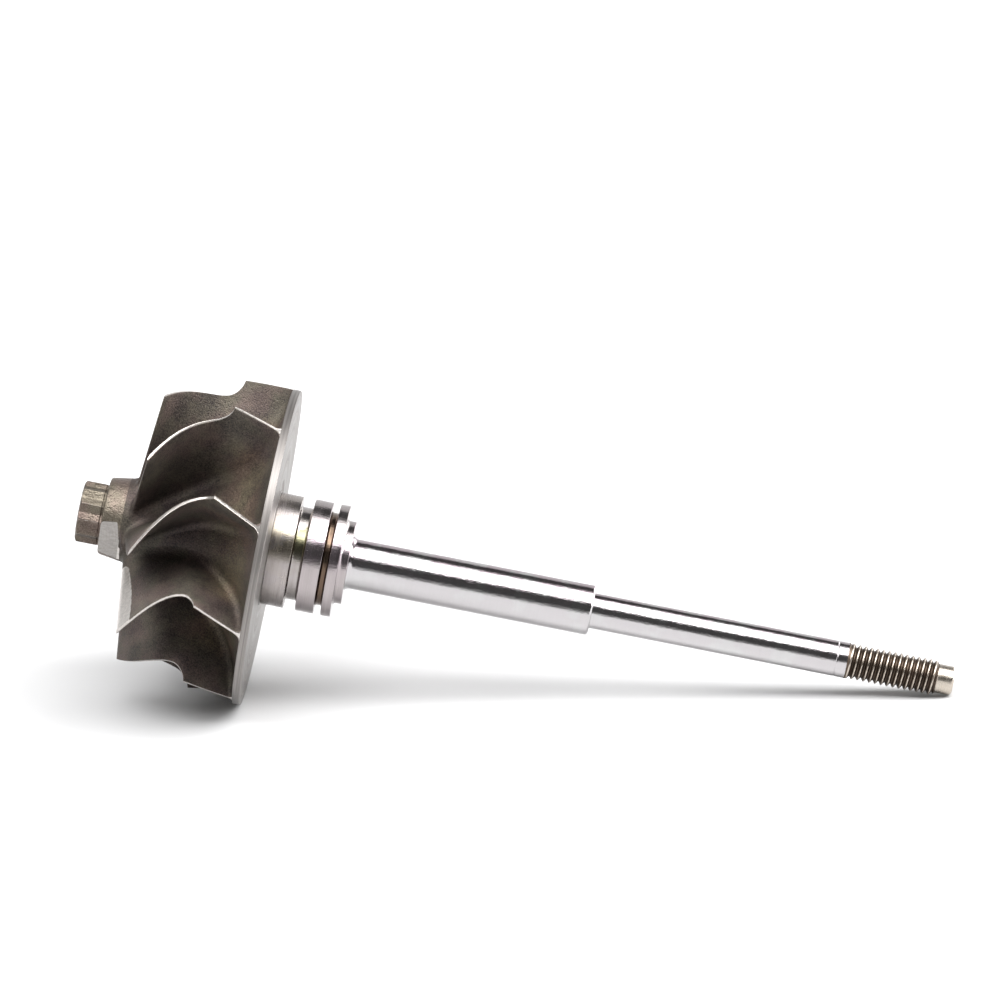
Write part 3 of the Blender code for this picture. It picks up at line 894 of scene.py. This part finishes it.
def start_material(name, metallic, roughness):
    """A Principled material, its board, and the position of the surface."""
    if name in bpy.data.materials:
        raise RuntimeError(f"there is a material named {name} already")
    material = bpy.data.materials.new(name)
    material.use_nodes = True
    board = NodeBoard(material.node_tree)
    shader = material.node_tree.nodes["Principled BSDF"]
    shader.inputs["Metallic"].default_value = metallic
    shader.inputs["Roughness"].default_value = roughness
    position = board.add("ShaderNodeTexCoord").outputs["Object"]
    return board, shader, position


def set_bump(board, shader, height, distance):
    """A bump on the surface, whose full height is a distance in millimetres."""
    bump = board.add("ShaderNodeBump", {"Height": height, "Distance": distance * MM, "Strength": 1.0})
    board.link(bump.outputs["Normal"], shader.inputs["Normal"])


def ground_attribute(board):
    return board.add("ShaderNodeAttribute", attribute_name="ground").outputs["Fac"]


def make_cast_material(name, dark, light, bright, grain_size, metallic, dullness=1.0, streaks=0.0):
    """Cast skin that turns bright where it was ground, and on one blade's tail as painted light."""
    board, shader, position = start_material(name, metallic, 0.6)
    shader.inputs["Specular IOR Level"].default_value = 0.3
    skin = board.group("Cast finish", {
        "Position": position, "Dark": dark, "Light": light, "Grain Size": grain_size})
    mask = board.group("Ground mask", {"Position": position, "Closeness": ground_attribute(board)})["Mask"]
    lines = board.group("Turned lines", {"Position": position, "Spacing": 0.09, "Break Up": 0.25})
    marks = board.group("Handling marks", {"Position": position, "Amount": 1.0})
    mottled = board.times(
        board.remap(lines["Lines"], 0.3, 0.7, 0.65, 1.0),
        board.remap(marks["Waves"], 0.35, 0.65, 0.6, 1.0))
    ground = board.mix(mottled, darker(bright, 0.5), bright)
    board.link(board.mix(mask, skin["Colour"], ground), shader.inputs["Base Color"])
    rough = board.times(skin["Roughness"], dullness)
    board.link(board.blend(mask, rough, 0.3), shader.inputs["Roughness"])
    board.link(board.blend(mask, metallic, 0.9), shader.inputs["Metallic"])
    height = board.number("ADD", skin["Height"], board.times(marks["Waves"], streaks))
    set_bump(board, shader, board.times(height, board.number("SUBTRACT", 1.0, mask)), CAST_RELIEF)


def make_turned_material(
        name, colour, tint, roughness, spacing, relief, tint_share, waves=8.0, line_shade=0.78):
    """Machined metal with lathe lines, soft waves, fine marks and a tint that is strongest above."""
    board, shader, position = start_material(name, 1.0, roughness)
    place = board.group("Rotor place", {"Position": position})
    lines = board.group("Turned lines", {"Position": position, "Spacing": spacing, "Break Up": 0.04})
    marks = board.group("Handling marks", {"Position": position, "Amount": 1.0})
    shade = board.mix(board.remap(lines["Lines"], 0.25, 0.75), darker(colour, line_shade), colour)
    rising = board.remap(place["Upwards"], *TINT_RISE, 0.2, 1.0)
    above = board.times(rising, board.remap(place["Upwards"], *TINT_FADE, 1.0, 0.3))
    where = board.times(board.times(marks["Smudges"], tint_share, clamp=True), above)
    board.link(board.mix(where, shade, tint), shader.inputs["Base Color"])
    banded = board.remap(lines["Bands"], 0.3, 0.7, roughness * 0.8, roughness * 1.25, smooth=False)
    rough = board.number("ADD", banded, board.times(marks["Marks"], 0.12))
    board.link(rough, shader.inputs["Roughness"])
    height = board.number("ADD", lines["Lines"], board.times(marks["Waves"], waves))
    set_bump(board, shader, height, relief)


def make_disc_material(finishes):
    """Turned bright behind and on the rim, cast on the side of the blades."""
    board, shader, position = start_material("Turned disc", 1.0, 0.3)
    shader.inputs["Specular IOR Level"].default_value = 0.3
    place = board.group("Rotor place", {"Position": position})
    lines = board.group("Turned lines", {"Position": position, "Spacing": 0.3, "Break Up": 0.03})
    skin = board.group("Cast finish", {
        "Position": position, "Dark": finishes.cast_dark, "Light": finishes.cast_light,
        "Grain Size": CAST_GRAIN})
    streaks = board.times(
        board.remap(lines["Lines"], 0.25, 0.75), board.remap(lines["Bands"], 0.4, 0.6, 0.3, 1.0))
    turned = board.mix(streaks, darker(finishes.turned, 0.5), finishes.turned)
    ragged = board.times(board.number("SUBTRACT", skin["Height"], 0.6), 0.1)
    is_turned = board.remap(board.number("ADD", place["Along"], ragged), *TURNED_EDGE)
    board.link(board.mix(is_turned, skin["Colour"], turned), shader.inputs["Base Color"])
    turned_roughness = board.remap(lines["Bands"], 0.3, 0.7, 0.34, 0.5)
    board.link(board.blend(is_turned, skin["Roughness"], turned_roughness), shader.inputs["Roughness"])
    board.link(board.blend(is_turned, CAST_METALLIC, 1.0), shader.inputs["Metallic"])
    cast_height = board.times(skin["Height"], CAST_RELIEF)
    turned_height = board.times(lines["Lines"], 0.02)
    set_bump(board, shader, board.blend(is_turned, cast_height, turned_height), 1.0)


def make_thread_material(finishes):
    """Dark bronze flanks and bright worn crests."""
    board, shader, position = start_material("Cut thread", 1.0, 0.35)
    skin = board.group("Cast skin", {"Position": position, "Grain Size": 0.2, "Patch Size": 3.0})
    crest = board.group("Ground mask", {
        "Position": position, "Closeness": ground_attribute(board), "Start": 0.35, "Full": 0.9})["Mask"]
    flank = board.mix(skin["Patches"], darker(finishes.thread_dark, 0.6), finishes.thread_dark)
    board.link(board.mix(crest, flank, finishes.thread_bright), shader.inputs["Base Color"])
    board.link(board.remap(crest, 0.0, 1.0, 0.45, 0.26), shader.inputs["Roughness"])
    set_bump(board, shader, skin["Height"], 0.01)


def make_floor_material(colour):
    """A matt pale floor with a hardly visible unevenness."""
    board, shader, position = start_material("Pale floor", 0.0, 0.6)
    shader.inputs["Specular IOR Level"].default_value = 0.2
    shade = board.mix(board.noise(position, 3.0, 2.0), darker(colour, 0.985), colour)
    board.link(shade, shader.inputs["Base Color"])


# Operators

def sizes_of(context):
    return context.scene.turbine_wheel_sizes, context.scene.turbine_shaft_sizes


class TURBINE_OT_finishes(bpy.types.Operator):
    """Make the effects and the metal finishes"""
    bl_idname = "turbine.finishes"
    bl_label = "Metal finishes"

    def execute(self, context):
        finishes = context.scene.turbine_finishes
        make_place_group()
        make_lines_group()
        make_cast_group()
        make_finish_group()
        make_edge_group()
        make_scratch_group()
        make_cast_material(
            "Cast nickel skin", finishes.cast_dark, finishes.cast_light, finishes.ground_edge_and_lit_patch,
            CAST_GRAIN, CAST_METALLIC)
        make_cast_material(
            "Cast nose skin", finishes.nose_dark, finishes.nose_light,
            darker(finishes.ground_edge_and_lit_patch, NOSE_WEAR),
            grain_size=0.25, metallic=0.85, dullness=0.66, streaks=0.5)
        make_disc_material(finishes)
        make_turned_material(
            "Satin land", finishes.land, finishes.tan,
            roughness=0.25, spacing=0.16, relief=0.0035, tint_share=2.0, waves=5.0)
        make_turned_material(
            "Turned land", finishes.land, finishes.mauve,
            roughness=0.175, spacing=0.16, relief=0.0025, tint_share=2.0, waves=9.0)
        make_turned_material(
            "Turned groove", finishes.land, finishes.straw,
            roughness=0.2, spacing=0.15, relief=0.003, tint_share=3.0)
        make_turned_material(
            "Dark groove", finishes.groove, finishes.straw,
            roughness=0.22, spacing=0.15, relief=0.0025, tint_share=0.4)
        make_turned_material(
            "Ground shaft", finishes.steel, finishes.mauve,
            roughness=0.12, spacing=0.09, relief=0.0008, tint_share=2.4, waves=32.0, line_shade=0.92)
        make_turned_material(
            "Turned tip", finishes.tip, finishes.steel,
            roughness=0.25, spacing=0.2, relief=0.004, tint_share=0.4)
        make_thread_material(finishes)
        return {"FINISHED"}


class TURBINE_OT_hub(bpy.types.Operator):
    """Make the cast hub between the disc and the nose"""
    bl_idname = "turbine.hub"
    bl_label = "Hub"

    def execute(self, context):
        side = hub_outline(DISC_DEPTH, HUB_END_DEPTH, HUB_STEPS)
        outline = [(-depth, radius) for depth, radius in side]
        outline = [(outline[0][0], 0.0)] + outline + [(outline[-1][0], 0.0)]
        points, faces = spin(outline, HUB_SEGMENTS)
        points, flat = flat_limit(points)
        add_piece("hub_casting", points, faces, "Cast nickel skin", ["hub"], flat)
        return {"FINISHED"}


class TURBINE_OT_blades(bpy.types.Operator):
    """Make the nine curved blades with their ground edges and root fillets"""
    bl_idname = "turbine.blades"
    bl_label = "Blades"

    def execute(self, context):
        sizes, _ = sizes_of(context)
        for number in range(1, sizes.blade_count + 1):
            angle = BLADE_CREST_ANGLE + (number - 1) * 360.0 / sizes.blade_count
            points, faces, ground = blade_shape(sizes, angle, number == PAINTED_LIGHT_BLADE)
            name = f"blade_{number}"
            add_piece(
                f"{name}_casting", points, faces, "Cast nickel skin", [name], ground,
                sharp=50.0)
        return {"FINISHED"}


class TURBINE_OT_disc(bpy.types.Operator):
    """Make the full back disc with its turned rim and back face"""
    bl_idname = "turbine.disc"
    bl_label = "Back disc"

    def execute(self, context):
        sizes, _ = sizes_of(context)
        radius = sizes.wheel_radius / MM
        outline = [
            (0.0, 0.0), *BACK_FACE_STEPS, (0.0, radius, RIM_BACK_ROUNDING),
            (-RIM_THICKNESS, radius, RIM_FRONT_ROUNDING)]
        side = hub_outline(RIM_THICKNESS, DISC_DEPTH, DISC_SIDE_STEPS)
        outline += [(-depth, span) for depth, span in side]
        outline.append((-DISC_DEPTH, 0.0))
        turned_piece(
            "back_disc_turned", outline, DISC_SEGMENTS, "Turned disc", ["back_disc"])
        return {"FINISHED"}


class TURBINE_OT_nose(bpy.types.Operator):
    """Make the nose collar with its ground flat, and the twelve-point drive"""
    bl_idname = "turbine.nose"
    bl_label = "Nose"

    def execute(self, context):
        sizes, _ = sizes_of(context)
        outline = round_corners([
            (-DRIVE_DEPTH, 0.0), (-DRIVE_DEPTH, COLLAR_FRONT_RADIUS, COLLAR_ROUNDING),
            (-HUB_END_DEPTH, HUB_END_RADIUS)])
        outline = divide_outline(outline, COLLAR_SPACING) + [(-HUB_END_DEPTH, 0.0)]
        points, faces = spin(outline, HUB_SEGMENTS)
        points, flat = flat_limit(points)
        add_piece(
            "nose_collar_casting", points, faces, "Cast nose skin", ["nose_collar"],
            flat, sharp=40.0)
        points, faces, ground = drive_shape(sizes)
        add_piece(
            "twelve_point_drive_casting", points, faces, "Cast nose skin",
            ["twelve_point_drive"], ground, sharp=24.0)
        return {"FINISHED"}


class TURBINE_OT_boss(bpy.types.Operator):
    """Make the seal boss: three lands, the oil groove and the empty ring groove"""
    bl_idname = "turbine.boss"
    bl_label = "Seal boss"

    def execute(self, context):
        _, sizes = sizes_of(context)
        land, neck = sizes.land_radius / MM, sizes.neck_radius / MM
        lands = [
            ("boss_inner_land", 0.0, INNER_LAND_END, "Satin land"),
            ("boss_middle_land", OIL_GROOVE_END, MIDDLE_LAND_END, "Turned land"),
            ("boss_outer_land", RING_GROOVE_END, OUTER_LAND_END, "Turned land")]
        for name, start, end, material in lands:
            outline = [
                (start, 0.0), (start, land, LAND_ROUNDING), (end, land, LAND_END_ROUNDING), (end, 0.0)]
            turned_piece(f"{name}_turned", outline, BOSS_SEGMENTS, material, [name])
        necks = [
            ("oil_groove_neck", INNER_LAND_END, OIL_GROOVE_END, "Turned groove"),
            ("ring_groove_neck", MIDDLE_LAND_END, RING_GROOVE_END, "Dark groove")]
        for name, start, end, material in necks:
            outline = [
                (start, 0.0), (start, neck + NECK_FLARE), (start + NECK_FLARE, neck, NECK_FILLET),
                (end - NECK_FLARE, neck, NECK_FILLET), (end, neck + NECK_FLARE), (end, 0.0)]
            turned_piece(f"{name}_turned", outline, BOSS_SEGMENTS, material, [name])
        return {"FINISHED"}


class TURBINE_OT_shaft(bpy.types.Operator):
    """Make the thrust collar, the journal, the stem and the pilot tip"""
    bl_idname = "turbine.shaft"
    bl_label = "Shaft"

    def execute(self, context):
        _, sizes = sizes_of(context)
        thrust, journal = sizes.thrust_radius / MM, sizes.journal_radius / MM
        stem, pilot = sizes.stem_radius / MM, sizes.pilot_radius / MM
        outline = [
            (OUTER_LAND_END, 0.0), (OUTER_LAND_END, thrust + THRUST_FLARE),
            (OUTER_LAND_END + THRUST_FLARE, thrust, THRUST_FILLET),
            (THRUST_COLLAR_END, thrust, THRUST_ROUNDING), (THRUST_COLLAR_END, 0.0)]
        turned_piece(
            "thrust_collar_turned", outline, BOSS_SEGMENTS, "Turned land",
            ["thrust_collar"])
        outline = [(THRUST_COLLAR_END, 0.0)]
        for end, steps in ((THRUST_COLLAR_END, JOURNAL_ROOT_STEPS), (JOURNAL_END, JOURNAL_END_STEPS)):
            outline += [(end + along, journal + height, rounding) for along, height, rounding in steps]
        outline.append((JOURNAL_END, 0.0))
        turned_piece(
            "journal_ground", outline, JOURNAL_SEGMENTS, "Ground shaft", ["journal"])
        outline = [
            (JOURNAL_END, 0.0), (JOURNAL_END, stem),
            (STEM_MARK - STEM_MARK_HALF, stem, STEM_MARK_ROUNDING),
            (STEM_MARK, stem - STEM_MARK_DEPTH, STEM_MARK_ROUNDING),
            (STEM_MARK + STEM_MARK_HALF, stem, STEM_MARK_ROUNDING), (STEM_END, stem), (STEM_END, 0.0)]
        turned_piece("stem_ground", outline, STEM_SEGMENTS, "Ground shaft", ["stem"])
        outline = [
            (THREAD_END, 0.0), (THREAD_END, pilot), (PILOT_END - TIP_CHAMFER, pilot, TIP_ROUNDING),
            (PILOT_END, pilot - TIP_CHAMFER, TIP_ROUNDING), (PILOT_END, 0.0)]
        turned_piece("pilot_tip_turned", outline, TIP_SEGMENTS, "Turned tip", ["pilot_tip"])
        return {"FINISHED"}


class TURBINE_OT_thread(bpy.types.Operator):
    """Make the left-hand thread at the end of the shaft"""
    bl_idname = "turbine.thread"
    bl_label = "Thread"

    def execute(self, context):
        _, sizes = sizes_of(context)
        points, faces, worn = thread_shape(sizes)
        add_piece(
            "threaded_end_cut", points, faces, "Cut thread", ["threaded_end"], worn, sharp=40.0)
        return {"FINISHED"}


class TURBINE_OT_stage(bpy.types.Operator):
    """Make the pale floor, the soft studio light and the camera"""
    bl_idname = "turbine.stage"
    bl_label = "Floor, light and camera"

    def execute(self, context):
        settings = context.scene.turbine_stage
        make_floor_material(settings.floor_colour)
        bm = bmesh.new()
        bmesh.ops.create_grid(
            bm, x_segments=FLOOR_SQUARES, y_segments=FLOOR_SQUARES, size=FLOOR_HALF_WIDTH)
        mesh = bpy.data.meshes.new("floor")
        bm.to_mesh(mesh)
        bm.free()
        mesh.materials.append(bpy.data.materials["Pale floor"])
        floor = bpy.data.objects.new("floor", mesh)
        context.scene.collection.objects.link(floor)
        make_studio(context.scene, settings.light)
        place_camera(context.scene, settings)
        context.scene.view_settings.view_transform = "Standard"
        return {"FINISHED"}


def make_studio(scene, strength):
    """A room lit by soft bands overhead, dimmer beyond the nose and brighter above the shaft's end.

    The camera sees a plain white backdrop instead.
    """
    world = bpy.data.worlds.new("Soft studio")
    scene.world = world
    world.use_nodes = True
    board = NodeBoard(world.node_tree)
    direction = board.add("ShaderNodeTexCoord").outputs["Generated"]
    sideways, away, up = board.add("ShaderNodeSeparateXYZ", {0: direction}).outputs
    arc = board.times(board.number("ARCTAN2", up, board.times(away, -1.0)), 1.0 / math.pi)
    ramp = board.add("ShaderNodeValToRGB", {0: arc})
    elements = ramp.color_ramp.elements
    for place, light in LIGHT_ARC[1:-1]:
        elements.new(place).color = (light, light, light, 1.0)
    for element, (place, light) in ((elements[0], LIGHT_ARC[0]), (elements[-1], LIGHT_ARC[-1])):
        element.position = place
        element.color = (light, light, light, 1.0)
    left = board.remap(sideways, *NOSE_SIDE, 0.5, 1.0)
    front_share = board.remap(arc, *FRONT_ARC, 0.7, 2.8)
    back_share = board.remap(arc, *BACK_ARC, 0.0, 2.2)
    boost = board.number("SUBTRACT", board.number("ADD", front_share, back_share), 1.0)
    right = board.times(board.remap(sideways, *SHAFT_SIDE), boost)
    sides = board.times(left, board.number("ADD", right, 1.0))
    light = board.times(ramp.outputs[0], board.times(sides, ROOM_LIGHT * strength))
    seen = board.add("ShaderNodeLightPath").outputs["Is Camera Ray"]
    background = world.node_tree.nodes["Background"]
    background.inputs["Color"].default_value = (1.0, 1.0, 1.0, 1.0)
    board.link(board.blend(seen, light, BACKDROP_LIGHT), background.inputs["Strength"])


def place_camera(scene, settings):
    """The photograph's camera, aimed at a point a little above the floor."""
    azimuth, elevation = settings.camera_azimuth, settings.camera_elevation
    back = Vector((
        math.sin(azimuth) * math.cos(elevation), -math.cos(azimuth) * math.cos(elevation),
        math.sin(elevation)))
    right = (-back).cross(Vector((0.0, 0.0, 1.0))).normalized()
    up = right.cross(-back)
    lean = settings.camera_roll
    level = math.cos(lean) * right + math.sin(lean) * up
    upright = -math.sin(lean) * right + math.cos(lean) * up
    turn = Matrix((level, upright, back)).transposed().to_4x4()
    place = Vector(CAMERA_TARGET) + back * settings.camera_distance
    camera = bpy.data.objects.new("camera", bpy.data.cameras.new("camera"))
    scene.collection.objects.link(camera)
    camera.matrix_world = Matrix.Translation(place) @ turn
    camera.data.sensor_width = CAMERA_SENSOR
    camera.data.lens = settings.camera_lens
    camera.data.clip_end = CAMERA_REACH
    scene.camera = camera


class TURBINE_PT_panel(bpy.types.Panel):
    """Lists the steps that build the turbine wheel"""
    bl_idname = "TURBINE_PT_panel"
    bl_label = "Turbine wheel"
    bl_space_type = "VIEW_3D"
    bl_region_type = "UI"
    bl_category = "Turbine wheel"

    def draw(self, context):
        layout = self.layout
        for name in GROUPS:
            box = layout.box()
            for label in getattr(context.scene, name).bl_rna.properties.keys():
                if label not in ("name", "rna_type"):
                    box.prop(getattr(context.scene, name), label)
        for operator in STEPS:
            layout.operator(operator.bl_idname)


GROUPS = {
    "turbine_wheel_sizes": WheelSizes, "turbine_shaft_sizes": ShaftSizes,
    "turbine_finishes": Finishes, "turbine_stage": StageSettings}
STEPS = [
    TURBINE_OT_finishes, TURBINE_OT_hub, TURBINE_OT_blades, TURBINE_OT_disc, TURBINE_OT_nose,
    TURBINE_OT_boss, TURBINE_OT_shaft, TURBINE_OT_thread, TURBINE_OT_stage]


def register():
    for group in (*GROUPS.values(), *STEPS, TURBINE_PT_panel):
        bpy.utils.register_class(group)
    for name, group in GROUPS.items():
        setattr(bpy.types.Scene, name, PointerProperty(type=group))


def unregister():
    for name in GROUPS:
        delattr(bpy.types.Scene, name)
    for group in (TURBINE_PT_panel, *reversed(STEPS), *GROUPS.values()):
        bpy.utils.unregister_class(group)


def main():
    register()
    for operator in STEPS:
        package, name = operator.bl_idname.split(".")
        getattr(getattr(bpy.ops, package), name)()


if __name__ == "__main__":
    main()
